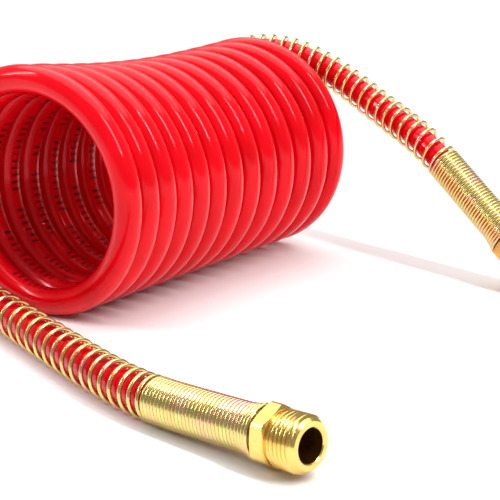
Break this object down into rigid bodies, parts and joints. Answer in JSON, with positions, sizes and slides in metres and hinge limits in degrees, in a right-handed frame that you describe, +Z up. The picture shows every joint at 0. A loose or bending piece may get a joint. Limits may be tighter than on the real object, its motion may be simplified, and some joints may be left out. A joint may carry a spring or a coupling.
{
  "type": "coiled air hose",
  "caption": "Preformed coiled nylon air hose with a straight lead at each end, open and close-wound spring guards, and brass male pipe fittings, the rear one a live swivel.",
  "frame": {"origin": "on the floor below the middle of the coil's length, under the coil's own axis", "axes": "+Y along the coil's axis from the front lead's end to the rear lead's end, +Z up, +X towards the side that both leads run to"},
  "size_m": [0.2648, 0.3179, 0.1172],
  "materials": {
    "hose_nylon": "glossy, slightly translucent nylon",
    "guard_wire": "yellow iridescent zinc plating on drawn spring wire",
    "fitting_brass": "machined, bright",
    "collar_steel": "crimped, zinc plated",
    "spring_steel": "phosphated",
    "seal_rubber": "matt"
  },
  "bodies": {
    "coil": {"hose_coil": "hose_nylon", "near_lead_hose": "hose_nylon", "near_guard_open_coils": "guard_wire", "near_guard_close_coils": "guard_wire", "near_crimp_collar": "collar_steel", "near_fitting": "fitting_brass"},
    "rear_lead": {"far_lead_hose": "hose_nylon", "far_guard_open_coils": "guard_wire", "far_guard_close_coils": "guard_wire", "far_crimp_collar": "collar_steel", "far_swivel_body": "fitting_brass", "far_snap_ring": "spring_steel"},
    "rear_nipple": {"far_swivel_nipple": "fitting_brass", "far_swivel_o_ring": "seal_rubber"}
  },
  "joints": [
    {"name": "coil_stretch", "type": "slide", "parent": "coil", "child": "rear_lead", "axis": [0, 1, 0], "range_m": [0, 0.9], "stiffness_N_per_m": 12, "deforming": ["hose_coil"]},
    {"name": "rear_swivel", "type": "hinge", "parent": "rear_lead", "child": "rear_nipple", "pos_m": [0.17315, 0.07055, 0.0173], "axis": [0.7785, -0.238, -0.5807], "continuous": true}
  ]
}
